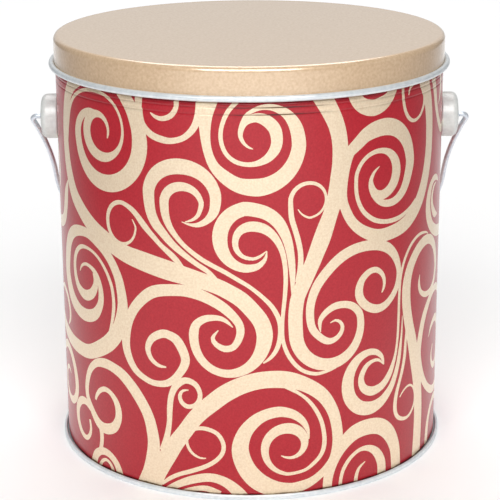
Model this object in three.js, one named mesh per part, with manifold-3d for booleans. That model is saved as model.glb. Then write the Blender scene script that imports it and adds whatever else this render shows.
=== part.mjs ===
// A lidded round tin for popcorn, with a slip lid, two ears and a wire bail that hangs behind it.
// Millimetres, +Z up. The origin is the centre of the foot, and the front faces -Y.

import * as THREE from 'three';
import { mergeVertices } from 'three/addons/utils/BufferGeometryUtils.js';
import Module from 'manifold-3d';

const wasm = await Module();
wasm.setup();

// Driving dimensions
const WALL_RADIUS = 83.0;
const TOTAL_HEIGHT = 180.2;
const GAP = 0.3; // clearance kept between pieces that touch
const AROUND = 96; // facets around every ring that shares the tin's axis

// Wall
const NECK_RADIUS = 82.2; // the part of the wall that the lid covers
const SKIRT_THICKNESS = 0.7; // the wall's lower edge, held in the foot seam
const SHOULDER_HEIGHT = 166.4; // where the wall steps in under the lid
const SHOULDER_EDGE = 0.4;
const GROOVE_HEIGHTS = [161.4, 164.2]; // two rolled lines below the lid
const GROOVE_DEPTH = 0.3;
const GROOVE_HALF_WIDTH = 0.6;

// Foot, which is the bottom end with its seam
const SEAM_RADIUS = 84.94;
const SEAM_HEIGHT = 2.1;
const SEAM_ROUND = 0.5;
const SEAM_LIP_INNER = 83.6;
const SEAM_FLOOR = 0.9; // bottom of the crevice between the seam's lip and the wall
const COUNTERSINK_OUTER = 82.0;
const COUNTERSINK_INNER = 81.3;
const PANEL_UNDERSIDE = 3.1;
const PANEL_TOP = 3.9;

// Lid
const LID_RADIUS = 83.47;
const LID_THICKNESS = 1.0;
const LID_SHOULDER = 2.2;
const CURL_RADIUS = 1.25; // of the rolled edge's own section
const CURL_OUTER = 85.77;
const CURL_HEIGHT = 168.0;
const CURL_STEPS = 9;
const ARC_STEPS = 4; // in the rounded shoulders of the lid and the ears
const ROUND_STEPS = 2; // in each quarter turn of the seam's small rounds

// Ears, which are pressed round cups
const EAR_HEIGHT = 143.05;
const EAR_RADIUS = 9.65;
const EAR_FACE = 90.2; // distance of the outer face from the tin's axis
const EAR_THICKNESS = 0.8;
const EAR_CORNER = 2.6;
const EAR_DOME = 0.35;
const EAR_HOLE_RADIUS = 1.6;
const EAR_FACETS = 36;
const EAR_OVERREACH = 3; // how far the cup runs into the wall before it is trimmed to it

// Bail
const WIRE_RADIUS = 1.15;
const WIRE_SIDES = 12;
const KNEE_RADIUS = 2.3;
const BOW_RADIUS = 88.0;
const BOW_CENTRE = 44.0; // distance of the bow's centre from the pivots
const LEG_RADIUS = 142.0; // the legs flare out towards the ears on this radius
const KNEE_END = 2.97; // distance from the pivots at which the knee meets the leg
const HEAD_RADIUS = 2.4;
const HEAD_THICKNESS = 1.2;
const HEAD_INSET = 0.7; // between the cup's inner face and the head
const BAIL_REST_GAP = 0.4; // between the hanging bail and the wall

// Steps along each half of the bail's wire
const PIVOT_STEPS = 1;
const KNEE_STEPS = 9;
const LEG_STEPS = 6;
const BOW_STEPS = 22;
const HALF_STEPS = PIVOT_STEPS + KNEE_STEPS + LEG_STEPS + BOW_STEPS;

const MERGE_DISTANCE = 1e-4;

const solidFrom = (geometry) => {
  for (const name of ['normal', 'uv']) geometry.deleteAttribute(name);
  const merged = mergeVertices(geometry, MERGE_DISTANCE);
  const vertProperties = new Float32Array(merged.attributes.position.array);
  const triVerts = new Uint32Array(merged.index.array);
  return new wasm.Manifold(new wasm.Mesh({ numProp: 3, vertProperties, triVerts }));
};

const geometryFrom = (solid) => {
  const { vertProperties, triVerts } = solid.getMesh();
  const geometry = new THREE.BufferGeometry();
  geometry.setAttribute('position', new THREE.BufferAttribute(vertProperties, 3));
  geometry.setIndex(new THREE.BufferAttribute(triVerts, 1));
  geometry.computeVertexNormals();
  return geometry;
};

const point = (radius, height) => new THREE.Vector2(radius, height);

// Points of an arc in a profile, angles in degrees from the outward direction
const arc = (radius, height, size, from, to, steps) => {
  const points = [];
  for (let i = 0; i <= steps; i += 1) {
    const angle = THREE.MathUtils.degToRad(from + ((to - from) * i) / steps);
    points.push(point(radius + size * Math.cos(angle), height + size * Math.sin(angle)));
  }
  return points;
};

// A profile turned round the tin's axis
const turned = (profile, facets = AROUND) => {
  const geometry = new THREE.LatheGeometry(profile, facets);
  geometry.rotateX(Math.PI / 2);
  return geometry;
};

const metal = (color, roughness, metalness) =>
  new THREE.MeshStandardMaterial({ color, roughness, metalness });
const redPrint = metal(0xbe4049, 0.35, 0.2);
const goldLacquer = metal(0xe0c59d, 0.35, 0.7);
const bareTin = metal(0xd7d8d8, 0.25, 0.9);
const earMetal = metal(0xdededa, 0.4, 0.8);
const zincWire = metal(0xcfd4d8, 0.3, 0.9);

const groove = (height) => [
  point(WALL_RADIUS, height - GROOVE_HALF_WIDTH),
  point(WALL_RADIUS - GROOVE_DEPTH, height),
  point(WALL_RADIUS, height + GROOVE_HALF_WIDTH),
];

const wallGeometry = () =>
  turned([
    point(0, PANEL_TOP + GAP),
    point(WALL_RADIUS - SKIRT_THICKNESS, PANEL_TOP + GAP),
    point(WALL_RADIUS - SKIRT_THICKNESS, SEAM_FLOOR + GAP),
    point(WALL_RADIUS, SEAM_FLOOR + GAP),
    ...GROOVE_HEIGHTS.flatMap(groove),
    point(WALL_RADIUS, SHOULDER_HEIGHT - SHOULDER_EDGE),
    point(NECK_RADIUS, SHOULDER_HEIGHT),
    point(NECK_RADIUS, TOTAL_HEIGHT - LID_THICKNESS - GAP),
    point(0, TOTAL_HEIGHT - LID_THICKNESS - GAP),
  ]);

const footGeometry = () => {
  const lipMiddle = (SEAM_LIP_INNER + SEAM_RADIUS) / 2;
  const lipRound = (SEAM_RADIUS - SEAM_LIP_INNER) / 2;
  return turned([
    point(0, PANEL_UNDERSIDE),
    ...arc(COUNTERSINK_INNER - SEAM_ROUND, PANEL_UNDERSIDE - SEAM_ROUND, SEAM_ROUND, 90, 0, ROUND_STEPS),
    ...arc(COUNTERSINK_INNER + SEAM_ROUND, SEAM_ROUND, SEAM_ROUND, 180, 270, ROUND_STEPS),
    ...arc(SEAM_RADIUS - SEAM_ROUND, SEAM_ROUND, SEAM_ROUND, -90, 0, ROUND_STEPS),
    ...arc(lipMiddle, SEAM_HEIGHT - lipRound, lipRound, 0, 180, 2 * ROUND_STEPS),
    point(SEAM_LIP_INNER, SEAM_FLOOR),
    point(COUNTERSINK_OUTER, SEAM_FLOOR),
    point(COUNTERSINK_OUTER, PANEL_TOP),
    point(0, PANEL_TOP),
  ]);
};

const lidGeometry = () => {
  const inner = NECK_RADIUS + GAP;
  const curlCentre = CURL_OUTER - CURL_RADIUS;
  const top = TOTAL_HEIGHT;
  // The rolled edge starts where it meets the skirt's outer face, and ends as far in under the skirt
  const meets = THREE.MathUtils.radToDeg(Math.acos((LID_RADIUS - curlCentre) / CURL_RADIUS));
  const curl = arc(curlCentre, CURL_HEIGHT, CURL_RADIUS, -meets, meets, CURL_STEPS);
  return turned([
    point(0, top - LID_THICKNESS),
    point(inner, top - LID_THICKNESS),
    point(inner, curl[0].y),
    ...curl,
    ...arc(LID_RADIUS - LID_SHOULDER, top - LID_SHOULDER, LID_SHOULDER, 0, 90, ARC_STEPS),
    point(0, top),
  ]);
};

// A cup with its axis along +Y and the tin's axis WALL_RADIUS below its origin, trimmed to the wall
const earGeometry = () => {
  const face = EAR_FACE - WALL_RADIUS;
  const inside = EAR_RADIUS - EAR_THICKNESS;
  const flat = face - EAR_DOME; // height at which the domed face meets the rounded corner
  const profile = [
    point(EAR_HOLE_RADIUS, face - EAR_THICKNESS),
    point(inside - EAR_CORNER, flat - EAR_THICKNESS),
    point(inside, flat - EAR_CORNER),
    point(inside, -EAR_OVERREACH),
    point(EAR_RADIUS, -EAR_OVERREACH),
    ...arc(EAR_RADIUS - EAR_CORNER, flat - EAR_CORNER, EAR_CORNER, 0, 90, ARC_STEPS),
    point(EAR_HOLE_RADIUS, face),
    point(EAR_HOLE_RADIUS, face - EAR_THICKNESS),
  ];
  const cup = solidFrom(new THREE.LatheGeometry(profile, EAR_FACETS));
  const trimRadius = WALL_RADIUS + GAP;
  const wall = new THREE.CylinderGeometry(trimRadius, trimRadius, TOTAL_HEIGHT, AROUND);
  wall.rotateX(Math.PI / 2);
  wall.translate(0, -WALL_RADIUS, 0);
  return geometryFrom(cup.subtract(solidFrom(wall)));
};

// The wire's centre line in the bail's own plane: pivots along X at y = 0, bow towards +Y
class BailLine extends THREE.Curve {
  constructor(headX) {
    super();
    const flare = LEG_RADIUS - Math.sqrt(LEG_RADIUS ** 2 - (BOW_CENTRE - KNEE_END) ** 2);
    this.legTurn = Math.asin((BOW_CENTRE - KNEE_END) / LEG_RADIUS);
    this.kneeTurn = Math.PI / 2 + this.legTurn;
    this.kneeX = BOW_RADIUS + flare - KNEE_RADIUS * Math.sin(this.kneeTurn);
    this.headX = headX;
  }

  // A point of the right half, by its number of steps from the pivot's inner end
  halfPoint(step) {
    const afterPivot = step - PIVOT_STEPS;
    const afterKnee = afterPivot - KNEE_STEPS;
    const afterLeg = afterKnee - LEG_STEPS;
    if (afterPivot <= 0) {
      return point(this.headX + ((this.kneeX - this.headX) * step) / PIVOT_STEPS, 0);
    }
    if (afterKnee <= 0) {
      const turn = (this.kneeTurn * afterPivot) / KNEE_STEPS;
      return point(this.kneeX + KNEE_RADIUS * Math.sin(turn), KNEE_RADIUS * (1 - Math.cos(turn)));
    }
    if (afterLeg <= 0) {
      const turn = this.legTurn * (1 - afterKnee / LEG_STEPS);
      const legX = BOW_RADIUS + LEG_RADIUS * (1 - Math.cos(turn));
      return point(legX, BOW_CENTRE - LEG_RADIUS * Math.sin(turn));
    }
    const turn = ((Math.PI / 2) * afterLeg) / BOW_STEPS;
    return point(BOW_RADIUS * Math.cos(turn), BOW_CENTRE + BOW_RADIUS * Math.sin(turn));
  }

  getPoint(t, target = new THREE.Vector3()) {
    const step = t * 2 * HALF_STEPS;
    const right = step <= HALF_STEPS;
    const { x, y } = this.halfPoint(right ? step : 2 * HALF_STEPS - step);
    return target.set(right ? x : -x, y, 0);
  }

  // Points are spread by steps and not by length, so the small knees get as many as they need
  getUtoTmapping(u) {
    return u;
  }
}

const bailGeometry = () => {
  const headX = EAR_FACE - EAR_THICKNESS - HEAD_INSET - HEAD_THICKNESS;
  const line = new BailLine(headX);
  const section = new THREE.Shape();
  section.absarc(0, 0, WIRE_RADIUS, 0, 2 * Math.PI);
  let bail = solidFrom(
    new THREE.ExtrudeGeometry(section, {
      steps: 2 * HALF_STEPS,
      curveSegments: WIRE_SIDES / 2,
      bevelEnabled: false,
      extrudePath: line,
    }),
  );
  for (const side of [-1, 1]) {
    const head = new THREE.CylinderGeometry(HEAD_RADIUS, HEAD_RADIUS, HEAD_THICKNESS, 2 * WIRE_SIDES);
    head.rotateZ(Math.PI / 2);
    head.translate(side * (headX + HEAD_THICKNESS / 2), 0, 0);
    bail = bail.add(solidFrom(head));
  }
  return geometryFrom(bail);
};

const named = (name, geometry, material) => {
  const mesh = new THREE.Mesh(geometry, material);
  mesh.name = name;
  return mesh;
};

const tin = new THREE.Group();
tin.add(named('wall', wallGeometry(), redPrint));
tin.add(named('foot', footGeometry(), bareTin));
tin.add(named('lid', lidGeometry(), goldLacquer));

for (const [name, side] of [['ear_left', -1], ['ear_right', 1]]) {
  const ear = named(name, earGeometry(), earMetal);
  ear.position.set(side * WALL_RADIUS, 0, EAR_HEIGHT);
  ear.rotation.z = (-side * Math.PI) / 2;
  tin.add(ear);
}

const hang = Math.acos((WALL_RADIUS + BAIL_REST_GAP + WIRE_RADIUS) / (BOW_CENTRE + BOW_RADIUS));
const swing = new THREE.Group();
swing.position.z = EAR_HEIGHT;
swing.rotation.x = -hang;
swing.add(named('bail', bailGeometry(), zincWire));
tin.add(swing);

export default tin;
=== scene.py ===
import math

import bmesh
import bpy
from mathutils import Matrix, Vector
from mathutils.geometry import delaunay_2d_cdt


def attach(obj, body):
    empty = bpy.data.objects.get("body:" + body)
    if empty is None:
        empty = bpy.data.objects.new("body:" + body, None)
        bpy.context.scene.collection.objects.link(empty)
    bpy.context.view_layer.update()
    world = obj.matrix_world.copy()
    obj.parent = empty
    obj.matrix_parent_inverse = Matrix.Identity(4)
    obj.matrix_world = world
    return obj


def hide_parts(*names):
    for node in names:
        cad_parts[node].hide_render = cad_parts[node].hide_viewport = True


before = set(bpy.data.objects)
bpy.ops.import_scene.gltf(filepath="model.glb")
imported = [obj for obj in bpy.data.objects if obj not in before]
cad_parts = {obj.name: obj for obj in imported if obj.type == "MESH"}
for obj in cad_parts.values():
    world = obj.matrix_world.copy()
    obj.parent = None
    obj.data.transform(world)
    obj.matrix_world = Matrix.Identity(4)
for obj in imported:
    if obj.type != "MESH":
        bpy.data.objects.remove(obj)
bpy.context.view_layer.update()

# Sizes in millimetres, as in the CAD
WALL_RADIUS = 83.0
TOTAL_HEIGHT = 180.2
NECK_RADIUS = 82.2
SHOULDER_HEIGHT = 166.4
SHOULDER_EDGE = 0.4
GROOVE_HEIGHTS = (161.4, 164.2)
GROOVE_DEPTH = 0.14
GROOVE_HALF_WIDTH = 0.6
SEAM_RADIUS = 84.94
SEAM_HEIGHT = 2.1
SEAM_LIP_INNER = 83.6
SEAM_FLOOR = 0.9
LID_RADIUS = 83.47
LID_SHOULDER = 2.2
CURL_RADIUS = 1.25
CURL_OUTER = 85.71
CURL_HEIGHT = 168.0
EAR_HEIGHT = 143.05
EAR_RADIUS = 9.65
EAR_FACE = 90.2
EAR_THICKNESS = 0.8
EAR_CORNER = 2.6
EAR_DOME = 0.35
EAR_HOLE_RADIUS = 1.6
WIRE_RADIUS = 1.13
KNEE_RADIUS = 2.3
BOW_RADIUS = 88.0
BOW_CENTRE = 44.0
LEG_RADIUS = 142.0
KNEE_END = 2.97
HEAD_RADIUS = 2.4
HEAD_THICKNESS = 1.2
HEAD_INSET = 0.7
BAIL_REST_GAP = 0.4

# Sizes that only the finish needs
TINPLATE = 0.25
AROUND = 192
FLAT_MARGIN = 0.3
NECK_TOP = 178.9
WALL_FOLD_RADIUS = 82.3
WALL_FOLD_TOP = 4.2
CURL_START = -180
CURL_END = 141
PANEL_RADIUS = 81.3
PANEL_HEIGHT = 3.1
PANEL_INNER = 3.9
PANEL_WALL = 82.0
FOOT_BEND = 0.5
EAR_GAP = 0.05
EAR_CROWN = 0.1
HOLE_BEVEL = 0.2
EAR_AROUND = 72
WIRE_AROUND = 24
HEAD_AROUND = 32
KNEE_STEPS = 14
LEG_STEPS = 12
BOW_STEPS = 60

# Camera, with the floor's centre under the tin as its origin
LENS = 123.46
SENSOR = 36
SIDE_SHIFT = -0.00044
CAMERA_PLACE = (0, -0.72837, 0.30619)
CAMERA_DOWN = 17.135
CAMERA_ROLL = -0.2955

MILLIMETRE = 0.001
TINY = 1e-3


def add_camera():
    """The camera stands before the front and looks down a little."""
    lens = bpy.data.cameras.new("camera")
    lens.sensor_width = SENSOR
    lens.lens = LENS
    lens.shift_x = SIDE_SHIFT
    camera = bpy.data.objects.new("camera", lens)
    place = Matrix.Translation(CAMERA_PLACE)
    tilt = Matrix.Rotation(math.radians(90 - CAMERA_DOWN), 4, "X")
    roll = Matrix.Rotation(math.radians(CAMERA_ROLL), 4, "Z")
    camera.matrix_world = place @ tilt @ roll
    bpy.context.scene.collection.objects.link(camera)
    bpy.context.scene.camera = camera


def piece(name, bm, materials, body="tin"):
    """Turns a bmesh in millimetres into a finished piece that rides on a body."""
    bmesh.ops.scale(bm, vec=(MILLIMETRE,) * 3, verts=bm.verts)
    mesh = bpy.data.meshes.new(name)
    bm.to_mesh(mesh)
    bm.free()
    for made in materials:
        mesh.materials.append(made)
    mesh.shade_smooth()
    thing = bpy.data.objects.new(name, mesh)
    bpy.context.scene.collection.objects.link(thing)
    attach(thing, body)
    return thing


def arc(radius, height, size, start, end, steps):
    """Points of an arc in a profile, with angles in degrees from the outward direction."""
    points = []
    for step in range(steps + 1):
        angle = math.radians(start + (end - start) * step / steps)
        points.append((radius + size * math.cos(angle), height + size * math.sin(angle)))
    return points


def turned(profile, steps=AROUND, closed=False):
    """A bmesh with a profile of (radius, height) points turned round the tin's axis."""
    bm = bmesh.new()
    verts = [bm.verts.new((radius, 0, height)) for radius, height in profile]
    edges = [bm.edges.new(pair) for pair in zip(verts, verts[1:])]
    if closed:
        edges.append(bm.edges.new((verts[-1], verts[0])))
    bmesh.ops.spin(
        bm, geom=verts + edges, cent=(0, 0, 0), axis=(0, 0, 1),
        angle=math.tau, steps=steps, use_merge=True,
    )
    bmesh.ops.remove_doubles(bm, verts=bm.verts, dist=1e-4)
    bmesh.ops.recalc_face_normals(bm, faces=bm.faces)
    return bm


# Print, on a sheet that is laid flat: millimetres to the right of the front, and up
REPEAT = math.pi * WALL_RADIUS
SHEET_LOW = 1.2
SHEET_HIGH = SHOULDER_HEIGHT - SHOULDER_EDGE
SHEET_COLUMNS = 96
SHEET_ROWS = 12
GROOVE_ROWS = 3
GROOVE_MARGIN = 2.0
STROKE_STEP = 1.2
VOLUTE_STEPS = 6
EVERY_TRIANGLE = 0
MERGED_WITHIN = 1e-4
SHEET_NEAR = 0.1


def through(marks, i, t):
    """Values between mark i and the next, on a smooth line through all the marks."""
    before = marks[max(i - 1, 0)]
    after = marks[min(i + 2, len(marks) - 1)]
    values = []
    for a, b, c, d in zip(before, marks[i], marks[i + 1], after):
        square = 2 * a - 5 * b + 4 * c - d
        cube = 3 * (b - c) + d - a
        values.append(b + 0.5 * t * (c - a + t * (square + t * cube)))
    return values


def volute(middle, side, sense, *marks):
    """Nodes of a coil, from its (radius, width) at each quarter turn. Side 0 is right, 1 is top."""
    nodes = []
    last = len(marks) - 1
    for step in range(last * VOLUTE_STEPS + 1):
        quarters = step / VOLUTE_STEPS
        i = min(int(quarters), last - 1)
        radius, width = through(marks, i, quarters - i)
        angle = math.radians(90 * (side + sense * quarters))
        across = middle[0] + radius * math.cos(angle)
        up = middle[1] + radius * math.sin(angle)
        nodes.append((across, up, width))
    return nodes


STROKES = {
    "upper left coil": [
        (-56, 169.5, 5.5), (-52.5, 165.5, 5.8), (-49.3, 161, 6.2), (-47.3, 156.5, 6.6),
        (-46.1, 152, 6.8), *volute((-66, 147), 0, -1, (20.3, 7.3), (18.5, 7), (17.5, 5)),
        (-82, 151.3, 4.2), (-78.5, 154.8, 3.3), (-74, 156.8, 2.4), (-70, 157, 1.5),
    ],
    "upper left thin coil": [
        (-95, 139, 1), (-93.7, 147, 2), (-91, 155, 2.1), (-86.5, 160.3, 1.7), (-80, 163.9, 1.5),
        (-73, 165.5, 1.5),
        *volute((-67, 149), 1, -1, (16.4, 1.5), (12.7, 1.4), (9.8, 4.3),
            (9.2, 5.2), (7.3, 2.6), (4.8, 1.2)), (-62.7, 147.3, 0.6),
    ],
    "long wave": [
        (-80, 169.5, 6), (-88.5, 165, 6.5), (-94, 158, 6.3), (-97, 149, 5.8), (-97.3, 140, 6.3),
        (-95.5, 130, 7), (-90.5, 120, 7.5), (-84, 114.2, 7.5), (-75, 108.5, 7.5),
        (-65, 104.2, 7.6), (-55, 100.8, 7.6), (-45, 98.9, 8.3), (-35, 97, 8.4), (-28, 95.6, 7.8),
        (-20, 93.8, 7), (-15, 92.4, 6.6), (-10, 90.3, 6.5), (-3.5, 86.3, 6.6), (2, 80.3, 6.6),
        (4.5, 76.3, 6.6), *volute((-10, 72), 0, -1, (15.6, 6.6), (17.1, 3.4), (13.1, 4)),
        (-21.8, 75.5, 3.4), (-18, 78, 2.9), (-13, 78.5, 2.2), (-9.8, 77.3, 1.6),
        (-7.1, 74.8, 0.4),
    ],
    "upper left twig": [
        (-45.3, 169.5, 3.8), (-45.8, 163, 3.2), (-45.4, 158, 2.6), (-44.3, 154, 2),
    ],
    "left loop": [
        (-26.8, 97.6, 1.6), (-31, 102.3, 2.6), (-36.8, 106.9, 2.1), (-39.8, 109.7, 2.3),
        (-42, 111.7, 2.5), (-44.9, 114.6, 2.9), (-47.7, 117.7, 2.6), (-50.4, 119.9, 2.4),
        (-53.6, 121.4, 2),
        *volute((-56, 113), 1, 1, (8.9, 1.8), (7.9, 1.9), (8.4, 1.4), (7.3, 0.9)),
        (-50.3, 115.8, 0.4),
    ],
    "middle left hook": [
        (-27.5, 117.6, 0.3), (-24, 116.7, 1.1), (-20.5, 116.9, 2), (-17, 118.9, 2.8),
        (-14.3, 122.5, 3.9), *volute((-28, 128), 0, 1, (14.5, 4.5), (12.1, 6.3), (14, 5.3)),
        (-41.3, 121, 4.8), (-39.2, 116, 4.4), (-36, 112.3, 3.8), (-32, 108.2, 3.1),
        (-28, 105, 2.6), (-22, 100.9, 2.1), (-17, 97.8, 2), (-13, 94, 1.4),
    ],
    "long vine": [
        (5, 59.5, 0.6), (8, 61.7, 1.5), (10.6, 65.5, 1.9), (11.9, 71, 2), (11.6, 77, 2),
        (9, 82.7, 1.9), (5, 87.3, 1.7), (0, 91.6, 1.6), (-4, 94.2, 1.7), (-10, 97.8, 1.8),
        (-15, 100.3, 1.9), (-20, 103, 2), (-26, 107.3, 1.9), (-30, 111.3, 2.2), (-33, 115.5, 2.9),
        (-34.6, 120, 3.6), *volute((-27, 125), 2, -1, (8, 4), (7, 3.6), (7.7, 2)),
        (-20.7, 120.8, 1.6), (-23.3, 118.6, 1.1), (-26, 117.7, 0.4),
    ],
    "left coil": [
        (-143, 75, 0.4), (-136, 68, 4), (-128, 61.5, 5), (-119, 56.5, 6), (-110, 53.3, 6.5),
        (-100, 51.3, 6.5), (-90, 50.7, 6.5), (-80, 51.7, 6.3), (-70, 56.5, 7), (-63.5, 61.5, 7.3),
        (-58.9, 68, 6.9), (-56.7, 77, 5.7), (-57.5, 85, 5), (-59.5, 91, 4.7), (-64, 97.3, 4.6),
        (-71, 101.8, 4.3), (-80, 104.3, 4.2), (-90.5, 102.3, 5), (-97.5, 96.5, 6),
        (-101, 88, 6.8), (-101.5, 80, 7), (-96.5, 72, 7), (-88.5, 68, 6), (-81, 67.6, 5.6),
        (-74.5, 70, 5), (-70.6, 75, 3.8), (-69.8, 80, 3.4), (-70.8, 85, 2.6), (-73.5, 88.3, 2.6),
        (-77, 90, 1.8), (-81, 90.3, 1.4), (-84.5, 88.6, 1.2), (-86.2, 86, 0.5),
    ],
    "left thin coil": [
        (-66.5, 61.3, 0.5), (-63.9, 67, 1.4), (-62.1, 74, 1.9), (-61.9, 80, 1.8),
        (-63.2, 86, 1.8), (-67, 92, 1.7), (-72, 96, 1.5), (-78, 97.7, 1.4), (-84.5, 97, 1.9),
        (-89.5, 93.2, 2.4), (-91.6, 88, 2.8), (-91, 82.5, 3.2), (-88, 78.3, 3.8),
        (-82.5, 76.4, 4.6), (-77.2, 78, 4.4), (-74, 81.6, 3.8), (-73.3, 85, 3), (-74.5, 88, 2),
    ],
    "lower middle wave": [
        (-13, 73.3, 0.4), (-15.3, 70, 1.6), (-14, 67.3, 2.2), (-10.5, 65.5, 2.7), (-7, 66.4, 2.7),
        (-4.7, 70, 3), (-4.1, 74, 3.3), (-5.6, 77.8, 3.5), (-10.5, 82.7, 4.2), (-16.5, 86.3, 4.6),
        (-23, 88.5, 4.9), (-30, 88.9, 4.9), (-40.5, 86.9, 5), (-48, 81, 4.6), (-53, 73.5, 4.5),
        (-55.2, 65, 4.5), (-54.6, 58, 4), (-50.8, 51.5, 3.2), (-45, 48.2, 2.7), (-40, 47.3, 2.6),
        (-34.5, 48.6, 3), (-29.8, 53, 3.3), (-26.9, 59.5, 3.8), (-30, 66.9, 4.2),
        (-34, 69.3, 3.7), (-37.5, 69.3, 3.5), (-42, 66.5, 3.1), (-44, 62, 2.6),
        (-42.5, 57.8, 2.1), (-39, 55.4, 1.6), (-35.5, 55.2, 0.6),
    ],
    "lower left coil": [
        (-47, 0, 8), (-44, 8, 7), (-42.3, 18, 6), (-42.7, 25, 5.6), (-45, 33, 5.3),
        (-50.5, 41, 5.5), (-57, 46.8, 5.3), (-63, 49.1, 4.6), (-69, 49.6, 4.3), (-75, 47.9, 3.4),
        (-80, 43.5, 3.2), (-83, 37, 3.2), (-83.3, 31, 3.1), (-80, 26, 3.6), (-76, 21.8, 4.3),
        (-72.5, 20, 4.7), (-68.5, 20, 4.8), (-64, 22, 4.5), (-61.3, 26, 3.9), (-60.8, 30.5, 3.7),
        (-62.5, 34.7, 3.1), (-66, 37.4, 2.4), (-69.5, 37.8, 2.3), (-73, 36, 2.1),
        (-75.5, 33, 1.7), (-76.3, 31, 1.2),
    ],
    "small left curl": [
        (-80.5, 25, 2), (-85, 27.2, 3.2), (-90, 26, 3.6), (-93.8, 22, 3.8), (-94.3, 17, 3.6),
        (-92, 12.6, 3.2), (-88, 10.3, 2.5), (-84.5, 10.7, 2.2), (-82, 13.3, 2),
        (-81.1, 16.5, 1.8), (-81.8, 20, 1.5),
    ],
    "left stem": [
        (-73, 19.5, 3), (-72.4, 15, 2.6), (-73.3, 10, 2.4), (-75, 7, 2),
    ],
    "left foot arch": [
        (-79.5, 0, 4.5), (-77.5, 5, 4), (-74, 8, 3.4), (-70, 9, 3.4), (-66, 8, 3.4),
        (-62.5, 5, 3.6), (-60.5, 0, 4),
    ],
    "left foot inner arch": [
        (-74.5, 1, 2), (-72.5, 4, 1.6), (-69.5, 5.4, 1.4), (-66.5, 4, 1.6), (-65, 1, 2),
    ],
    "far left coil": [
        (-117, 42.3, 3.5), (-110, 45.8, 3.6), (-103, 45, 3.8), (-97.5, 40.5, 4), (-94.7, 34, 4.2),
        (-95, 28, 4), (-98.5, 23.5, 3.6), (-104, 21.8, 3.3), (-110, 23.5, 3), (-113, 28, 2.6),
        (-112, 33, 2.2), (-107, 35.8, 1.8), (-103, 34, 0.3),
    ],
    "far left branch": [
        (-96.5, 123, 0.6), (-99.5, 117, 4.5), (-101.3, 111, 5), (-104.5, 104.8, 5),
        (-110.5, 101.5, 5), (-119, 100.5, 5), (-128, 103, 5.4), (-134.5, 110, 5.8),
        (-137, 119, 6), (-134, 128, 6), (-127, 133.5, 5.4), (-119.5, 133.5, 4.6),
        (-114, 129, 3.8), (-112.5, 122.5, 3), (-115.5, 117, 2.2), (-121, 115.5, 1.4),
        (-124.5, 118.5, 0.5),
    ],
    "top coil": [
        (-15.5, 169, 8), (-17.3, 160, 5.4), (-17.05, 150, 3.7), (-14.7, 142.2, 3.9),
        (-10.6, 137.4, 5.1), (-4.6, 133.6, 6), *volute((2, 150), 3, 1, (17.4, 7.1), (17.3, 5.7)),
        (18, 156.3, 5.2), (14.6, 161.4, 3.9), (9.5, 164.2, 2.7), (4.5, 164.4, 2),
        (0.4, 162.7, 1.5), (-1.7, 161, 1.3), (-3.3, 158.3, 0.8),
    ],
    "top thin coil": [
        (-3.5, 168, 1.8), (-8.2, 163, 1.8), (-10.8, 157, 1.7), (-11.2, 151.5, 1.7),
        (-9.5, 146.5, 1.7), (-6, 143.2, 1.8), (-1.5, 141.9, 1.8), (3, 142.3, 2.3),
        (7, 144.3, 3.4), (9.8, 147.7, 4.3), (10.6, 151.5, 4.6), (9.6, 156, 4.9),
        (6.3, 159.3, 4.6), (2.2, 160.4, 3.5), (-1.7, 158.8, 2.9), (-3.3, 155.8, 2.2),
        (-3.5, 152.8, 1.7), (-2, 150, 1.2), (0, 148.5, 0.8), (1.3, 148, 0.3),
    ],
    "top garland": [
        (-45.5, 162, 3), (-44.4, 156, 3), (-40.5, 152, 2.9), (-35.5, 150.3, 2.8),
        (-31, 150.1, 2.4), (-26, 151.8, 2.4), (-22, 155.8, 2.8), (-20, 161, 3), (-18.8, 168, 4),
    ],
    "top hook": [
        (-29, 168, 2.2), (-29.1, 163.5, 2), (-31.5, 160, 2.2), (-35.3, 158.6, 1.9),
        (-38.5, 159.3, 1.4), (-40.3, 160.6, 0.4),
    ],
    "middle hook": [
        (6.6, 106.6, 0.3), (5.8, 103.2, 1.5), (3, 100.4, 2.6),
        *volute((-1, 111), 3, -1, (11.5, 3.3), (11, 6), (13, 5.7)), (6, 122.3, 5.4),
        (11, 118.3, 5), (14.3, 112, 4), (16, 105, 3.2), (16.8, 97, 2.5), (16.9, 88, 1),
    ],
    "middle vine": [
        (6.5, 106.7, 0.3), (4, 104.6, 1.1), (1, 103.5, 1.3), (-3, 104.5, 1.7), (-5.5, 107.5, 2.2),
        (-5.8, 111.5, 2.6), (-4, 115, 3.3), (0, 116.8, 4.1), (5, 116, 4), (9, 113, 3.2),
        (12, 108, 2.4), (13.6, 102, 2), (14.1, 95, 1.8), (13.8, 88, 1.7), (13.1, 81, 1.6),
        (12.7, 75, 1.6), (13, 69, 1.6), (14.8, 63.2, 1.7), (18, 58.2, 1.7), (22, 54.8, 1.6),
        (27, 53.2, 1.5), (32, 53.7, 1.2), (36, 54.8, 0.8),
    ],
    "right trunk": [
        (27, 170, 7.6), (31.3, 163.2, 7.4), (34.8, 156, 7), (36.5, 149, 6.9), (36.8, 141, 7.2),
        (36.2, 134, 7.7), (35.2, 128, 7.6), (33, 121, 6.6), (30.6, 114.5, 7.2),
        (28.85, 109.7, 7.4), (26.8, 104.7, 6.9), (25.1, 100.4, 6.6), (23.4, 96.9, 6.6),
        (21.8, 93.3, 6.5), (20, 89, 6), (18.8, 85.4, 5.9), (18.1, 79, 5.9),
        *volute((33, 72), 2, 1, (14.7, 5.9), (15.4, 5), (14.4, 3.5)), (46.6, 76.3, 3.3),
        (43.5, 79.7, 3.1), (39.5, 81.2, 3), (35, 81.1, 3), (31, 79, 2.6), (28.6, 76, 2),
        (28.5, 72.5, 1), (28.8, 70.9, 0.3),
    ],
    "right loop": [
        (18.8, 93, 1.8), (20, 99, 2.2), (20.1, 105, 2.2), (19.2, 110, 2.2), (17.8, 115, 2.2),
        (16.4, 120, 2.2),
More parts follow.
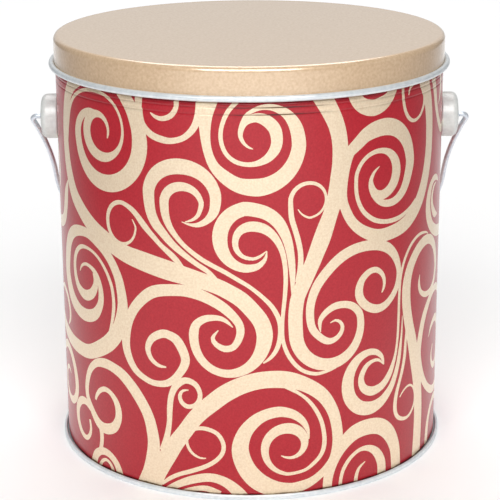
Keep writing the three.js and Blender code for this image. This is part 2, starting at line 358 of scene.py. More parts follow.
        *volute((23.5, 126.5), 2, -1, (7.5, 1.9), (7, 1.5), (7.2, 1.1), (7.1, 0.9)),
        (20.7, 120.9, 0.7), (19, 123.1, 0.4),
    ],
    "right wave": [
        (33, 74.3, 0.4), (35.2, 75.1, 1), (37.4, 74.1, 1.4), (38.6, 71.8, 1.7), (37.8, 69.2, 2),
        (35.3, 67, 2.3), (32, 66.6, 2.8), (28.5, 68.8, 3), (25.3, 72.7, 3.2), (24.2, 78, 3.4),
        (24.6, 84, 3.6), (27, 90.5, 4), (31.5, 96.3, 4.3), (37, 101, 4.6), (43, 103.6, 4.5),
        (49.5, 104.3, 4.4), (56.2, 103.4, 4.4), (62, 100.8, 4.3), (66.4, 96.2, 3.8),
        (68.7, 90.3, 3), (68.1, 84.5, 3), (65.5, 80.3, 3.2), (61, 77, 3.4), (56, 76.2, 3.6),
        (50.7, 78.3, 3.7), (47.2, 82, 3.9), (46.3, 86, 3.9), (47.8, 90.2, 3.3), (51.3, 92.9, 2.8),
        (55.2, 93.1, 2.4), (58.5, 90.6, 2), (59.8, 87.3, 1.7), (59.4, 84.3, 1.3),
        (58.4, 82.7, 0.6),
    ],
    "upper right coil": [
        (37, 138.9, 3), (40.8, 143.9, 4.6), (44.6, 147, 5.4), (48.6, 150, 6.1), (53, 151.6, 6.8),
        *volute((58, 134), 1, -1, (18.1, 7), (16.9, 5.8)), (72.6, 127, 5), (69.4, 122.7, 4.3),
        (65, 120.4, 3.5), (60.4, 120.2, 3), (56.3, 121.6, 2.5), (52.9, 124.9, 2.2),
        (51.4, 128.5, 2.1), (51.6, 131.5, 1.9), (53.2, 134.3, 1.3), (55.9, 136.3, 0.4),
    ],
    "upper right thin coil": [
        (80, 118, 0.8), (75, 114.8, 1.6), (68, 112.6, 2), (60, 112.6, 1.9), (53, 114.8, 2),
        (47.5, 119.5, 1.9), (44.6, 126, 1.8),
        *volute((57, 133), 2, -1, (12.8, 1.8), (9.6, 2.2), (8.8, 5.2), (8.8, 4)),
        (54.4, 125.2, 3.4), (52.7, 127.7, 2.1), (51.9, 130.5, 1.4), (51.9, 133, 0.8),
    ],
    "upper right arm": [
        (43.5, 147, 3), (40.2, 141, 3.8), (38.3, 133.5, 4.2), (38, 126, 4), (39.8, 120, 4.2),
        (43.2, 114.6, 4.3), (48.5, 110.4, 4.8), (56, 107.4, 5.5), (65, 107.5, 6),
        (73, 109.3, 6.5), (80, 113.5, 6.8), (85.2, 119, 7), (89, 126, 7), (91.4, 134, 7.1),
        (92.1, 142, 7.1), (91.4, 151, 7.2), (89.3, 159, 7.2), (86.3, 165, 8), (84, 169, 8),
    ],
    "upper right loop": [
        (69, 169, 1.5), (69.2, 163, 1.6), (70.8, 156.8, 1.8), (74, 152.8, 1.7), (78, 151.4, 1.4),
        (82.5, 152.9, 1.5), (85.5, 157, 1.8), (85.4, 161, 1.5),
    ],
    "upper right tip": [
        (81, 167.5, 2), (77, 167, 1.5), (74, 165.4, 1.2), (73, 162.6, 0.6),
    ],
    "top right garland": [
        (41.5, 170, 5), (43.8, 165, 5.6), (47.3, 161.9, 6.2), (52.3, 160.6, 6.6),
        (57, 161.6, 6.3), (61, 164, 5), (64, 168.5, 4),
    ],
    "lower right hook": [
        (60.4, 50.8, 0.5), (59.3, 54.3, 1.8), (56, 57.2, 2.5), (51.5, 58.1, 3), (46.5, 56.3, 4),
        (42.8, 51.8, 5), (41.4, 46, 5.7), (42.7, 39.8, 6), (47, 35, 6), (53, 33.2, 5.8),
        (58.4, 34.2, 4.9), (62, 36.4, 4.2), (65.1, 39.4, 3.5), (67.4, 43.2, 3), (69.2, 47.7, 2.6),
        (70.3, 52, 2.3), (70.9, 56, 1.9), (71.5, 60, 1.3), (71.8, 64, 1), (71.9, 69.3, 0.3),
    ],
    "lower right vine": [
        (60.3, 50.8, 0.4), (57.5, 53.4, 1.2), (54, 53.8, 1.6), (50.3, 52, 2.4), (48, 47.5, 2.9),
        (49.3, 43, 3.5), (53.5, 40.6, 4), (58, 41, 3.7), (61.4, 42.8, 3.5), (64.4, 46.2, 3),
        (66.3, 49.8, 2.3), (67.6, 53.2, 1.7), (68.4, 57, 1.5), (69, 62, 1.5), (69.3, 70, 1.6),
        (69.4, 78, 1.6), (70, 86, 1.6), (72.3, 92.8, 1.6), (76.3, 98, 1.6), (81, 100.8, 1.5),
        (86, 101.6, 1.3), (91.5, 100.7, 0.8), (93.4, 99.6, 0.5),
    ],
    "lower right loop": [
        (75.3, 64, 1.2), (75, 60, 1.5), (74.65, 56, 1.8), (74.35, 51.5, 2.1), (73.4, 47.1, 2.1),
        (72.1, 43.2, 2), (70.6, 39.6, 2), (69.2, 36.2, 2.2), (68.3, 32.5, 2.3), (68.1, 29, 2.4),
        (69, 25.8, 2.1), (71.5, 23.3, 1.8), (76, 21.9, 1.5), (80, 22.9, 1.4), (83, 26.3, 1.3),
        (83.2, 31, 1), (81, 35, 1), (77.5, 36.2, 1), (73.8, 35, 0.9), (71.3, 32.9, 0.6),
    ],
    "far right arm": [
        (85.6, 83.6, 0.3), (85.1, 79.5, 1.9), (86.6, 76, 2.2), (90, 73.7, 2.4), (94.5, 72.6, 2.7),
        (100, 73, 3), (105, 76, 3.3), (107.5, 82, 3.8), (105, 89, 4.2), (100.5, 94, 4.2),
        (95, 96.8, 4.2), (89, 97.2, 4.8), (83, 95, 5.2), (78, 90.3, 5.6), (75.2, 84.5, 6),
        (74.5, 78, 6.2), (75.3, 71, 6.2), (77.3, 63.5, 6.4), (79.9, 56, 7), (82.3, 48, 7.4),
        (84.8, 39, 7.4), (86.5, 31, 7.4), (87.3, 21, 7.6), (87, 11, 7.7), (86.2, 1, 7.8),
        (86, -2, 7.8),
    ],
    "far right branch": [
        (125, 61, 0.4), (118.5, 67, 3), (112, 70.5, 3.2), (105, 71.5, 3.4), (98.5, 69.5, 3.8),
        (91.8, 63.8, 4.6), (87.9, 56, 4.7), (86.2, 48, 5), (88, 41, 4.8), (91.5, 35, 4),
        (96.5, 29.7, 3.6), (102, 26.2, 3.6), (108, 24, 3.6), (115, 23.2, 3.8), (123, 24.5, 4.2),
        (131, 30, 4.6), (138, 38, 4.2), (144.5, 43.8, 0.8),
    ],
    "far right hook": [
        (140, 101, 3), (131, 96.5, 4), (121, 95, 5), (111, 96.3, 5), (103, 98.7, 5),
        (97, 102.5, 5), (93.5, 108, 5.5), (93, 114, 5), (95.5, 119.5, 4), (100, 122, 3),
        (105, 121.3, 2.4), (108.5, 119, 0.3),
    ],
    "far right inner hook": [
        (108, 104.5, 0.4), (102.5, 106, 3.5), (98.6, 110, 3), (97.8, 114.5, 2.4),
        (100, 118.3, 1.8), (104, 119.5, 0.3),
    ],
    "far right twig": [
        (94, 169, 4), (98, 160.5, 4), (100.5, 153.5, 3.6), (104.5, 147, 3.4), (111, 141.5, 3.4),
        (119, 140.5, 3.6), (125.5, 144.5, 3.6), (128.5, 151.5, 3.2), (126.5, 158.5, 2.6),
        (120.5, 161.5, 2), (115, 158.5, 1.5), (114.5, 153.5, 0.6),
    ],
    "right foot arch": [
        (32.2, 0, 4), (32.8, 7, 4.4), (35.3, 14, 5), (39.3, 19.8, 6), (45, 24, 7), (52, 25, 7.1),
        (59, 23.3, 7), (64.6, 18.5, 6.8), (68.3, 11.5, 6.3), (69.4, 4, 6.2), (69.3, 0, 6.2),
    ],
    "right foot inner arch": [
        (38.3, 0, 1.7), (38.6, 4.5, 1.6), (40, 9, 1.8), (43.3, 13.2, 1.8), (48, 15.7, 1.8),
        (53, 15.1, 2.8), (57.3, 11.8, 4), (60, 6.5, 4.8), (60.2, 0, 4.9),
    ],
    "right foot tip": [
        (46, 0, 2), (46.2, 4, 1.8), (47.7, 7.5, 1.4), (50.8, 9.6, 0.4),
    ],
    "front coil": [
        (-43.8, -1, 8), (-41.3, 6, 7.8), (-38.2, 12, 7.8), (-34.9, 17.2, 7.3), (-31.8, 22.3, 6.9),
        (-27.6, 28.2, 6.5), (-23.7, 33.8, 6.6), (-20.2, 37.8, 6.9), (-16.5, 41.2, 7.2),
        (-10.3, 46.3, 7.4), (-3, 50.2, 7.3), (5, 52.2, 7.3), (14, 51.9, 7.3), (22, 49.2, 6.2),
        (29.3, 44, 5.7), (33.9, 37.2, 5.1), (36.2, 30, 4.9), (36.9, 22, 4.8), (35.4, 15, 4.4),
        (32.3, 11, 3.8), (29.2, 8.4, 3.5), (25.3, 5.9, 3.8), (20.7, 4.3, 4.7), (16, 3.4, 5.6),
        (9.3, 4.2, 7), (2.4, 8, 7.8), (-2.4, 14.2, 7.5), (-4.5, 21.8, 7), (-2.7, 29, 6),
        (1.5, 34.3, 5.3), (6, 37, 4.8), (11, 38.1, 4.6), (15.2, 37.4, 4.1), (18.5, 35.8, 3.6),
        (21.3, 33.2, 2.9), (23, 30.3, 2.1), (23.8, 27.5, 1.1), (23.9, 25, 0.6),
    ],
    "front thin coil": [
        (12, 49.6, 0.8), (16, 47.8, 1.5), (20.2, 45.1, 1.3), (23.8, 41.8, 1.5), (27.1, 37.1, 1.7),
        (29.6, 31.5, 1.8), (30.8, 25, 1.9), (30.5, 20, 2), (28.9, 16.6, 1.8), (26.1, 13.8, 1.7),
        (22.2, 11.3, 1.4),
        *volute((16, 23), 3, -1, (12.7, 1.4), (10.3, 3.4), (7.5, 4.6), (6.2, 3.1), (5.5, 1.2)),
        (14, 17.9, 0.9), (12.3, 18.7, 0.4),
    ],
    "front loop": [
        (-18.7, 17.2, 0.4), (-21.3, 17.1, 0.9), (-24.4, 18.7, 1.2), (-26.3, 21.3, 1.3),
        (-26.9, 24.4, 1.3), (-25.9, 27.6, 1.4), (-23, 29.8, 1.5), (-18.8, 30.3, 1.8),
        (-14, 28.5, 1.8), (-11.5, 24.4, 1.8), (-11.7, 20.3, 1.8), (-14.4, 16.6, 1.8),
        (-19, 13.5, 1.9), (-25.5, 10.6, 1.9), (-30.2, 8.7, 1.8), (-34.8, 6, 1.7),
        (-38.6, 2.8, 1.2),
    ],
    "front foot arch": [
        (-37, 0, 2.5), (-31, 4, 3), (-24, 7.2, 3.6), (-17, 8.7, 3.8), (-11, 7.2, 4.2),
        (-6, 3.3, 5), (-3, -1, 6),
    ],
    "front foot inner arch": [
        (-30, 0.5, 2), (-24, 2.8, 2.2), (-18.5, 3.6, 2.6), (-13, 1.5, 3),
    ],
    "front sprig": [
        (-38.5, 18, 2), (-36, 24, 2.6), (-34.6, 31, 2.3), (-34.2, 38, 2.6), (-33.3, 43.5, 2.6),
        (-31, 48, 3), (-27, 50.6, 2.7), (-23, 49.4, 2.4), (-21, 46, 2), (-21.3, 42.5, 2),
        (-23.5, 40, 1.7), (-26.5, 39.3, 2), (-29, 41, 1.9), (-29.6, 43.8, 1.6), (-28.2, 46, 1.1),
        (-25.8, 46.5, 0.5),
    ],
    "back foot hook": [
        (98.3, -1, 4), (98.8, 7, 4), (101.3, 13.5, 3.7), (106.5, 17.8, 3.4), (113, 18.8, 3.2),
        (119.5, 16, 3), (123, 10.5, 2.6), (122, 4.5, 0.4),
    ],
    "back left ring": [
        (-119, 70, 0.4), (-112, 71.8, 2.4), (-105, 70, 2.6), (-100.9, 65, 2.6), (-101, 60, 2.2),
        (-104, 56.5, 0.3),
    ],
    "back link": [
        (118, 80, 0.6), (121.5, 77.5, 1.6), (126, 78.5, 2.4), (128.6, 83, 3), (127, 88.5, 3.6),
        (121.5, 92, 3.6), (115, 94.3, 0.8),
    ],
    "back lower coil": [
        (106, 46, 0.6), (103.5, 42.5, 1.6), (104.5, 38, 2.4), (109, 35, 3), (115.5, 35.5, 3.6),
        (120, 40, 4), (120.5, 47.5, 4.2), (116, 54, 4), (109, 57, 3.2), (102, 55.5, 2.4),
        (98, 51.5, 0.3),
    ],
    "back top twig": [
        (106, 169, 4), (108.5, 163, 3), (107.5, 157, 2.2), (104.5, 153, 0.3),
    ],
}


def stroke_line(nodes):
    """Points with widths at short steps along a stroke."""
    line = []
    for i in range(len(nodes) - 1):
        steps = max(1, round(math.dist(nodes[i][:2], nodes[i + 1][:2]) / STROKE_STEP))
        for step in range(steps):
            line.append(through(nodes, i, step / steps))
    line.append(list(nodes[-1]))
    return line


def stroke_edges(nodes):
    """The right and left edge of a stroke, point by point."""
    line = stroke_line(nodes)
    right, left = [], []
    for i, (across, up, width) in enumerate(line):
        back = Vector(line[max(i - 1, 0)][:2])
        ahead = Vector(line[min(i + 1, len(line) - 1)][:2])
        along = (ahead - back).normalized()
        out = Vector((along.y, -along.x)) * width / 2
        right.append(Vector((across, up)) + out)
        left.append(Vector((across, up)) - out)
    return right, left


def wall_radius(height):
    """Radius of the wall and its slope at a height, with the two rolled lines."""
    for middle in GROOVE_HEIGHTS:
        offset = (height - middle) / GROOVE_HALF_WIDTH
        if abs(offset) < 1:
            depth = GROOVE_DEPTH * (1 + math.cos(math.pi * offset)) / 2
            slope = GROOVE_DEPTH * math.pi / GROOVE_HALF_WIDTH * math.sin(math.pi * offset) / 2
            return WALL_RADIUS - depth, slope
    return WALL_RADIUS, 0.0


def sheet_grid(points, edges):
    """Adds the lines that the flat sheet is divided by."""
    rows = [SHEET_LOW, SHEET_HIGH]
    step = (GROOVE_HEIGHTS[0] - GROOVE_MARGIN - SHEET_LOW) / SHEET_ROWS
    rows += [SHEET_LOW + step * i for i in range(1, SHEET_ROWS + 1)]
    step = GROOVE_HALF_WIDTH / GROOVE_ROWS
    for middle in GROOVE_HEIGHTS:
        rows += [middle + step * i for i in range(-GROOVE_ROWS, GROOVE_ROWS + 1)]
    for height in rows:
        edges.append((len(points), len(points) + 1))
        points += [Vector((-REPEAT / 2, height)), Vector((REPEAT / 2, height))]
    for column in range(SHEET_COLUMNS + 1):
        across = REPEAT * (column / SHEET_COLUMNS - 0.5)
        edges.append((len(points), len(points) + 1))
        points += [Vector((across, SHEET_LOW)), Vector((across, SHEET_HIGH))]


def sheet_strokes(points, faces):
    """Adds each stroke as a band of four-sided faces, and again one repeat to each side."""
    for nodes in STROKES.values():
        right, left = stroke_edges(nodes)
        for shift in (-REPEAT, 0, REPEAT):
            move = Vector((shift, 0))
            start = len(points)
            for a, b in zip(right, left):
                points += [a + move, b + move]
            for i in range(start, len(points) - 2, 2):
                faces.append([i, i + 2, i + 3, i + 1])


def flat_sheet():
    """Half a turn of the print laid flat: its points, its triangles, and which are gold."""
    points, edges, faces = [], [], []
    sheet_grid(points, edges)
    sheet_strokes(points, faces)
    result = delaunay_2d_cdt(points, edges, faces, EVERY_TRIANGLE, MERGED_WITHIN)
    found, triangles, sources = result[0], result[2], result[5]
    kept, gold = [], []
    for triangle, source in zip(triangles, sources):
        middle = (found[triangle[0]] + found[triangle[1]] + found[triangle[2]]) / 3
        if abs(middle.x) < REPEAT / 2 and SHEET_LOW < middle.y < SHEET_HIGH:
            kept.append(triangle)
            gold.append(bool(source))
    return found, kept, gold


def wall_sheet():
    """The printed wall: half a turn of the sheet wrapped round, and the same again behind."""
    found, triangles, gold = flat_sheet()
    bm = bmesh.new()
    verts = {}
    for triangle, is_gold in zip(triangles, gold):
        corners = []
        for i in triangle:
            if i not in verts:
                radius, slope = wall_radius(found[i].y)
                angle = found[i].x / WALL_RADIUS
                verts[i] = bm.verts.new(
                    (radius * math.sin(angle), -radius * math.cos(angle), found[i].y)
                )
            corners.append(verts[i])
        face = bm.faces.new(corners)
        face.material_index = 1 if is_gold else 0
    both = bmesh.ops.duplicate(bm, geom=bm.verts[:] + bm.edges[:] + bm.faces[:])
    copied = [item for item in both["geom"] if isinstance(item, bmesh.types.BMVert)]
    bmesh.ops.rotate(
        bm, verts=copied, cent=(0, 0, 0), matrix=Matrix.Rotation(math.pi, 3, "Z")
    )
    bmesh.ops.remove_doubles(bm, verts=bm.verts, dist=2 * TINY)
    return bm


def run_on(bm, rim, steps):
    """Carries a rim on through (radius, height) steps and closes it with a cap."""
    for radius, height in steps:
        made = bmesh.ops.extrude_edge_only(bm, edges=rim)["geom"]
        rim = [item for item in made if isinstance(item, bmesh.types.BMEdge)]
        for vert in {vert for edge in rim for vert in edge.verts}:
            size = math.hypot(vert.co.x, vert.co.y)
            vert.co.x *= radius / size
            vert.co.y *= radius / size
            vert.co.z = height
    bmesh.ops.edgeloop_fill(bm, edges=rim)


def rim_at(bm, height):
    """The open edges of the sheet at a height."""
    found = []
    for edge in bm.edges:
        if edge.is_boundary and all(abs(vert.co.z - height) < TINY for vert in edge.verts):
            found.append(edge)
    return found


def add_wall():
    """The wall with its print, its neck under the lid and its lower edge in the seam."""
    bm = wall_sheet()
    top = rim_at(bm, SHEET_HIGH)
    low = rim_at(bm, SHEET_LOW)
    run_on(bm, top, [(NECK_RADIUS, SHOULDER_HEIGHT), (NECK_RADIUS, NECK_TOP)])
    run_on(bm, low, [(WALL_FOLD_RADIUS, SHEET_LOW), (WALL_FOLD_RADIUS, WALL_FOLD_TOP)])
    bmesh.ops.recalc_face_normals(bm, faces=bm.faces)
    wall = piece("wall_print", bm, [red_print(), gold_print()])
    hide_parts("wall")
    round_normals(wall.data)


def round_normals(mesh):
    """Gives the wall's vertices the normals of its true round shape."""
    normals = []
    for vert in mesh.vertices:
        radius = math.hypot(vert.co.x, vert.co.y)
        height = vert.co.z / MILLIMETRE
        outer, slope = wall_radius(height)
        on_sheet = abs(radius / MILLIMETRE - outer) < SHEET_NEAR
        if on_sheet and height < SHEET_HIGH - TINY:
            out = Vector((vert.co.x / radius, vert.co.y / radius, -slope))
            normals.append(out.normalized())
        else:
            normals.append(vert.normal.copy())
    mesh.normals_split_custom_set_from_vertices(normals)


def add_lid():
    """The gold lid: flat top, rounded shoulder and a skirt down to the rolled edge."""
    across = LID_RADIUS - LID_SHOULDER
    up = TOTAL_HEIGHT - LID_SHOULDER
    bm = turned([
        (0, TOTAL_HEIGHT - TINPLATE),
        *arc(across, up, LID_SHOULDER - TINPLATE, 90, 0, 8),
        (LID_RADIUS - TINPLATE, CURL_HEIGHT),
        (LID_RADIUS, CURL_HEIGHT),
        (LID_RADIUS, CURL_HEIGHT + FLAT_MARGIN),
        (LID_RADIUS, up - FLAT_MARGIN),
        *arc(across, up, LID_SHOULDER, 0, 90, 12),
        (across - FLAT_MARGIN, TOTAL_HEIGHT),
        (0, TOTAL_HEIGHT),
    ])
    lid = piece("lid_gold", bm, [gold_lacquer()])
    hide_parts("lid")


def add_curl():
    """The rolled edge of the lid, which shows the bare inner side of its sheet."""
    centre = CURL_OUTER - CURL_RADIUS
    bm = turned([
        *arc(centre, CURL_HEIGHT, CURL_RADIUS, CURL_START, CURL_END, 30),
        *arc(centre, CURL_HEIGHT, CURL_RADIUS - TINPLATE, CURL_END, CURL_START, 30),
    ], closed=True)
    piece("lid_curl", bm, [bare_tin()])


def add_foot():
    """The foot's double seam and its sunk panel."""
    lip_middle = (SEAM_LIP_INNER + SEAM_RADIUS) / 2
    lip_round = (SEAM_RADIUS - SEAM_LIP_INNER) / 2
    bend = FOOT_BEND
    bm = turned([
        (0, PANEL_HEIGHT),
        *arc(PANEL_RADIUS - bend, PANEL_HEIGHT - bend, bend, 90, 0, 4),
        *arc(PANEL_RADIUS + bend, bend, bend, 180, 270, 4),
        *arc(SEAM_RADIUS - bend, bend, bend, -90, 0, 6),
        *arc(lip_middle, SEAM_HEIGHT - lip_round, lip_round, 0, 180, 12),
        (SEAM_LIP_INNER, SEAM_FLOOR),
        (PANEL_WALL, SEAM_FLOOR),
        (PANEL_WALL, PANEL_INNER),
        (0, PANEL_INNER),
    ])
    foot = piece("foot_seam", bm, [bare_tin()])
    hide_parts("foot")


def add_ear(name, side):
    """A pressed round cup, turned on its own axis and then fitted to the wall."""
    face = EAR_FACE - WALL_RADIUS
    inside = EAR_RADIUS - EAR_THICKNESS
    flat = face - EAR_DOME
    outline = [
        (EAR_HOLE_RADIUS, face - EAR_THICKNESS),
        *arc(inside - EAR_CORNER, flat - EAR_CORNER, EAR_CORNER - EAR_THICKNESS, 90, 0, 6),
        (inside, 0),
        (EAR_RADIUS, 0),
        (EAR_RADIUS, FLAT_MARGIN),
        *arc(EAR_RADIUS - EAR_CORNER, flat - EAR_CORNER, EAR_CORNER, 0, 90, 10),
        (EAR_RADIUS * 0.4, face - EAR_CROWN),
        (EAR_HOLE_RADIUS + HOLE_BEVEL, face),
        (EAR_HOLE_RADIUS, face - HOLE_BEVEL),
    ]
    bm = turned(outline, EAR_AROUND, closed=True)
    for vert in bm.verts:
        if vert.co.z < TINY:
            vert.co.z = math.sqrt((WALL_RADIUS + EAR_GAP) ** 2 - vert.co.x ** 2) - WALL_RADIUS
    upright = Matrix.Rotation(math.pi / 2, 4, "Z")
    outward = Matrix.Rotation(side * math.pi / 2, 4, "Y")
    place = Matrix.Translation((side * WALL_RADIUS, 0, EAR_HEIGHT))
    bmesh.ops.transform(bm, matrix=place @ outward @ upright, verts=bm.verts)
    bmesh.ops.recalc_face_normals(bm, faces=bm.faces)
    ear = piece(name, bm, [ear_metal()])
    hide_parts(name.replace("cup", "ear"))


def spun_edges(bm, edges, centre, angle, steps):
    """Carries an open ring of edges round a centre in the bail's plane."""
    made = bmesh.ops.spin(
        bm, geom=edges, cent=centre, axis=(0, 0, 1), angle=angle, steps=steps
    )["geom_last"]
    return [item for item in made if isinstance(item, bmesh.types.BMEdge)]


def add_bail():
    """The wire, from the head in the right ear round the knee, leg and bow, and mirrored."""
    flare = LEG_RADIUS - math.sqrt(LEG_RADIUS ** 2 - (BOW_CENTRE - KNEE_END) ** 2)
    leg_turn = math.asin((BOW_CENTRE - KNEE_END) / LEG_RADIUS)
    knee_turn = math.pi / 2 + leg_turn
    knee_x = BOW_RADIUS + flare - KNEE_RADIUS * math.sin(knee_turn)
    head_x = EAR_FACE - EAR_THICKNESS - HEAD_INSET - HEAD_THICKNESS
    bm = bmesh.new()
    ring = bmesh.ops.create_circle(bm, segments=WIRE_AROUND, radius=WIRE_RADIUS)["verts"]
    upright = Matrix.Rotation(math.pi / 2, 3, "Y")
    bmesh.ops.rotate(bm, verts=ring, cent=(0, 0, 0), matrix=upright)
    bmesh.ops.translate(bm, verts=ring, vec=(head_x, 0, 0))
    edges = bm.edges[:]
    made = bmesh.ops.extrude_edge_only(bm, edges=edges)["geom"]
    verts = [item for item in made if isinstance(item, bmesh.types.BMVert)]
    bmesh.ops.translate(bm, verts=verts, vec=(knee_x - head_x, 0, 0))
    edges = [item for item in made if isinstance(item, bmesh.types.BMEdge)]
    edges = [edge for edge in edges if all(vert in verts for vert in edge.verts)]
    edges = spun_edges(bm, edges, (knee_x, KNEE_RADIUS, 0), knee_turn, KNEE_STEPS)
    leg_centre = (BOW_RADIUS + LEG_RADIUS, BOW_CENTRE, 0)
    edges = spun_edges(bm, edges, leg_centre, -leg_turn, LEG_STEPS)
    spun_edges(bm, edges, (0, BOW_CENTRE, 0), math.pi / 2, BOW_STEPS)
    bmesh.ops.mirror(bm, geom=bm.verts[:] + bm.edges[:] + bm.faces[:], axis="X", merge_dist=1e-3)
    ends = [edge for edge in bm.edges if edge.is_boundary]
    bmesh.ops.holes_fill(bm, edges=ends)
    for side in (-1, 1):
        place = Matrix.Translation((side * (head_x + HEAD_THICKNESS / 2), 0, 0))
        bmesh.ops.create_cone(
            bm, cap_ends=True, segments=HEAD_AROUND, radius1=HEAD_RADIUS, radius2=HEAD_RADIUS,
            depth=HEAD_THICKNESS, matrix=place @ Matrix.Rotation(math.pi / 2, 4, "Y"),
        )
    hang = math.acos((WALL_RADIUS + BAIL_REST_GAP + WIRE_RADIUS) / (BOW_CENTRE + BOW_RADIUS))
    place = Matrix.Translation((0, 0, EAR_HEIGHT)) @ Matrix.Rotation(-hang, 4, "X")
    bmesh.ops.transform(bm, matrix=place, verts=bm.verts)
    bmesh.ops.recalc_face_normals(bm, faces=bm.faces)
    bail = piece("bail_wire", bm, [zinc_wire()], "bail")
    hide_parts("bail")


# Finishes, whose colours are ordinary 0 to 255 numbers
def linear(red, green, blue):
    """A colour from its ordinary 0 to 255 numbers."""
    values = []
    for value in (red, green, blue):
        value /= 255
        values.append(value / 12.92 if value < 0.04045 else ((value + 0.055) / 1.055) ** 2.4)
    return (*values, 1.0)


def new_finish(name, roughness, metallic):
    """A material with its shader and the object's coordinates."""
    made = bpy.data.materials.new(name)
    made.use_nodes = True
    shader = made.node_tree.nodes["Principled BSDF"]
    shader.inputs["Roughness"].default_value = roughness
    shader.inputs["Metallic"].default_value = metallic
    place = made.node_tree.nodes.new("ShaderNodeTexCoord")
    return made, shader, place.outputs["Object"]


def lacquered(shader, weight, roughness, strength):
    """Lays a clear lacquer over the finish, whose strength is its optical index."""
    shader.inputs["Coat IOR"].default_value = strength
    shader.inputs["Coat Weight"].default_value = weight
    shader.inputs["Coat Roughness"].default_value = roughness


def noise(made, place, scale, detail=2.0):
    """Noise whose patches are about 1/scale metres across."""
    found = made.node_tree.nodes.new("ShaderNodeTexNoise")
    found.inputs["Scale"].default_value = scale
    found.inputs["Detail"].default_value = detail
    made.node_tree.links.new(place, found.inputs["Vector"])
    return found.outputs["Fac"]


def axes_of(made, place):
    """How far to the right, back and up a point is, in metres."""
    parts = made.node_tree.nodes.new("ShaderNodeSeparateXYZ")
    made.node_tree.links.new(place, parts.inputs["Vector"])
    return parts.outputs["X"], parts.outputs["Y"], parts.outputs["Z"]


def worked(made, operation, first, second=None, third=None):
    """Values and plain numbers worked out with one of the math operations."""
    found = made.node_tree.nodes.new("ShaderNodeMath")
    found.operation = operation
    for socket, value in zip(found.inputs, (first, second, third)):
        if isinstance(value, (int, float)):
            socket.default_value = value
        elif value is not None:
            made.node_tree.links.new(value, socket)
    return found.outputs["Value"]


def spread(made, value, low, high):
    """0 up to a low value, 1 from a high value, and evenly between."""
    found = made.node_tree.nodes.new("ShaderNodeMapRange")
    found.inputs["From Min"].default_value = low
    found.inputs["From Max"].default_value = high
    made.node_tree.links.new(value, found.inputs["Value"])
    return found.outputs["Result"]


def shades(made, value, *stops):
    """Colours spread over a value from 0 to 1."""
    ramp = made.node_tree.nodes.new("ShaderNodeValToRGB")
    while len(ramp.color_ramp.elements) < len(stops):
        ramp.color_ramp.elements.new(0.5)
    for element, (position, colour) in zip(ramp.color_ramp.elements, stops):
        element.position = position
        element.color = colour
    made.node_tree.links.new(value, ramp.inputs["Fac"])
    return ramp.outputs["Color"]


def mixed(made, part, first, second):
    """The first colour, and the second where part is 1."""
    mix = made.node_tree.nodes.new("ShaderNodeMix")
    mix.data_type = "RGBA"
    colours = [socket for socket in mix.inputs if socket.type == "RGBA"]
    made.node_tree.links.new(part, mix.inputs["Factor"])
    made.node_tree.links.new(first, colours[0])
    colours[1].default_value = second
    return next(socket for socket in mix.outputs if socket.type == "RGBA")


def bumps(made, shader, value, depth):
    """Presses a pattern into the surface, depth in millimetres."""
    bump = made.node_tree.nodes.new("ShaderNodeBump")
    bump.inputs["Distance"].default_value = depth * MILLIMETRE
    made.node_tree.links.new(value, bump.inputs["Height"])
    made.node_tree.links.new(bump.outputs["Normal"], shader.inputs["Normal"])


def seam_painted_shade(made, place):
    """Painted shade: a ragged dark edge just above the foot seam, where the seam's lip shades the
    wall, thinner where the noise is low.
    """
    height = axes_of(made, place)[2]
    patches = noise(made, place, 220, 4)
    ragged = worked(made, "MULTIPLY_ADD", patches, -0.0014, height)
    return spread(made, ragged, 0.0016, 0.0011)


def groove_shade_and_reflection(made, place):
    """Painted shade in the rolled lines, faint and soft all the way round, and a crisp painted
    reflection of the dark room before the tin at the front.
    """
    depth, height = axes_of(made, place)[1:]
    half = (GROOVE_HEIGHTS[1] - GROOVE_HEIGHTS[0]) / 2 * MILLIMETRE
    foot_of_lines = GROOVE_HEIGHTS[0] * MILLIMETRE - half
    above = worked(made, "SUBTRACT", height, foot_of_lines)
    near = worked(made, "PINGPONG", worked(made, "MAXIMUM", above, 0.0), half)
    # The crisp dark lines only at the front are a painted reflection of the dark room before the
    # tin.
    front = spread(made, depth, -0.075, -0.081)
    crisp = worked(made, "MULTIPLY", spread(made, near, 0.75 * half, 0.93 * half), front)
    both = worked(made, "MULTIPLY_ADD", spread(made, near, 0.14 * half, half), 0.3, crisp)
    # Noise breaks the painted shade into smudges.
    patchiness = spread(made, noise(made, place, 45, 3), 0.3, 0.6)
    return worked(made, "MULTIPLY", both, patchiness)


def print_finish(name, metallic, dark, light, shade_colour):
    """A printed colour under satin lacquer, with a fine sandy grain, darkened with painted shade at
    the foot seam and in the rolled lines.
    """
    made, shader, place = new_finish(name, 0.5, metallic)
    lacquered(shader, 0.7, 0.18, 1.55)
    shader.inputs["Specular IOR Level"].default_value = 0.1
    grain = noise(made, place, 1300, 3)
    colour = shades(made, grain, (0.3, dark), (0.7, light))
    # Painted shade and painted reflection: the print turns towards the last colour above the foot
    # seam and in the rolled lines.
    painted_shade = worked(made, "MAXIMUM", seam_painted_shade(made, place), groove_shade_and_reflection(made, place))
    colour = mixed(made, painted_shade, colour, shade_colour)
    made.node_tree.links.new(colour, shader.inputs["Base Color"])
    bumps(made, shader, grain, 0.05)
    return made


def red_print():
    """Deep red of the wall's ground."""
    return print_finish(
        # The last colour is the painted shade over the red.
        "red_print", 0.0, linear(163, 18, 34), linear(180, 30, 43), linear(70, 22, 22)
    )


def gold_print():
    """Pale gold of the wall's scrolls."""
    return print_finish(
        # The last colour is the painted shade over the gold.
        "gold_print", 0.55, linear(240, 216, 184), linear(253, 234, 206), linear(112, 88, 62)
    )


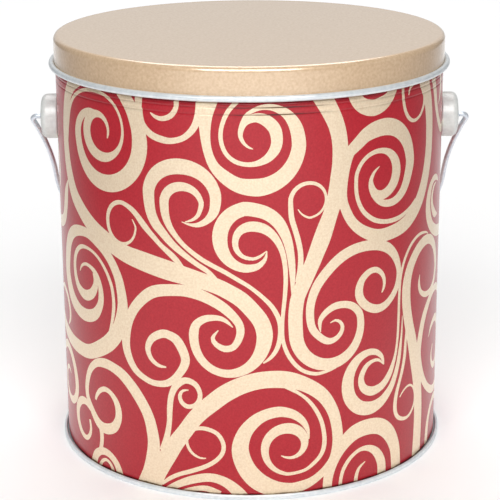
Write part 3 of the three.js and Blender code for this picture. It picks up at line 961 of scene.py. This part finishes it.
def gold_lacquer():
    """Gold lacquer over tin, with a fine pebbled grain."""
    made, shader, place = new_finish("gold_lacquer", 0.36, 0.2)
    lacquered(shader, 1.0, 0.14, 1.9)
    grain = noise(made, place, 900, 3)
    colour = shades(made, grain, (0.3, linear(208, 175, 138)), (0.7, linear(225, 195, 159)))
    made.node_tree.links.new(colour, shader.inputs["Base Color"])
    bumps(made, shader, grain, 0.1)
    return made


def bare_tin():
    """Bright bare tinplate with soft streaks."""
    made, shader, place = new_finish("bare_tin", 0.34, 0.4)
    streaks = noise(made, place, 400, 4)
    colour = shades(made, streaks, (0.3, linear(216, 223, 227)), (0.7, linear(236, 241, 243)))
    made.node_tree.links.new(colour, shader.inputs["Base Color"])
    bumps(made, shader, streaks, 0.02)
    return made


def ear_metal():
    """Off-white satin metal of the ears."""
    made, shader, place = new_finish("ear_metal", 0.36, 0.1)
    grain = noise(made, place, 600, 3)
    colour = shades(made, grain, (0.3, linear(212, 214, 211)), (0.7, linear(226, 229, 226)))
    made.node_tree.links.new(colour, shader.inputs["Base Color"])
    bumps(made, shader, grain, 0.03)
    return made


def zinc_wire():
    """Bluish zinc on drawn wire."""
    made, shader, place = new_finish("zinc_wire", 0.4, 0.6)
    spots = noise(made, place, 500, 3)
    colour = shades(made, spots, (0.3, linear(212, 219, 228)), (0.7, linear(230, 236, 243)))
    made.node_tree.links.new(colour, shader.inputs["Base Color"])
    bumps(made, shader, spots, 0.03)
    return made


# Stage
SKY_STRENGTH = 0.23


def floor_finish():
    """Pale studio floor, white before and behind the tin and greyer to the sides as painted shade,
    so the tin's sides reflect less light.
    """
    made, shader, place = new_finish("floor", 0.9, 0.0)
    right, back = axes_of(made, place)[:2]
    aside = worked(made, "ABSOLUTE", right)
    along = worked(made, "ADD", worked(made, "ABSOLUTE", back), 0.85)
    # Painted shade: the floor turns grey to the sides, where it stands in for a dimmer room.
    far = spread(made, worked(made, "DIVIDE", aside, along), 0.2, 0.6)
    colour = shades(made, far, (0, linear(252, 252, 252)), (1, linear(150, 147, 150)))
    made.node_tree.links.new(colour, shader.inputs["Base Color"])
    return made


def add_floor():
    """A wide pale floor under the tin."""
    bm = bmesh.new()
    bmesh.ops.create_circle(bm, cap_ends=True, segments=96, radius=6)
    mesh = bpy.data.meshes.new("floor")
    bm.to_mesh(mesh)
    bm.free()
    mesh.materials.append(floor_finish())
    floor = bpy.data.objects.new("floor", mesh)
    bpy.context.scene.collection.objects.link(floor)


def add_world():
    """Soft white light from all round."""
    world = bpy.data.worlds.new("studio")
    world.use_nodes = True
    sky = world.node_tree.nodes["Background"]
    sky.inputs["Color"].default_value = (1, 1, 1, 1)
    sky.inputs["Strength"].default_value = SKY_STRENGTH
    bpy.context.scene.world = world
    bpy.context.scene.view_settings.view_transform = "Standard"


def add_light(name, place, target, size, watts):
    """A soft light, size metres wide and high, that faces a point."""
    lamp = bpy.data.lights.new(name, "AREA")
    lamp.shape = "RECTANGLE"
    lamp.size = size[0]
    lamp.size_y = size[1]
    lamp.energy = watts
    light = bpy.data.objects.new(name, lamp)
    light.location = place
    light.rotation_euler = (Vector(target) - Vector(place)).to_track_quat("-Z", "Y").to_euler()
    bpy.context.scene.collection.objects.link(light)


add_camera()
add_wall()
add_lid()
add_curl()
add_foot()
add_ear("cup_left", -1)
add_ear("cup_right", 1)
add_bail()
add_floor()
add_world()
add_light("front", (0, -1.5, 1.4), (0, 0, 0.1), (1.8, 1.0), 37)
add_light("above", (0, 1.4, 2.0), (0, 1.3, 0), (1.8, 1.6), 30)
add_light("behind", (0, 2.3, 0.7), (0, 0, 0.2), (2.6, 1.2), 3.8)
add_light("right", (1.7, -0.3, 0.6), (0, 0, 0.1), (0.8, 1.0), 0.5)
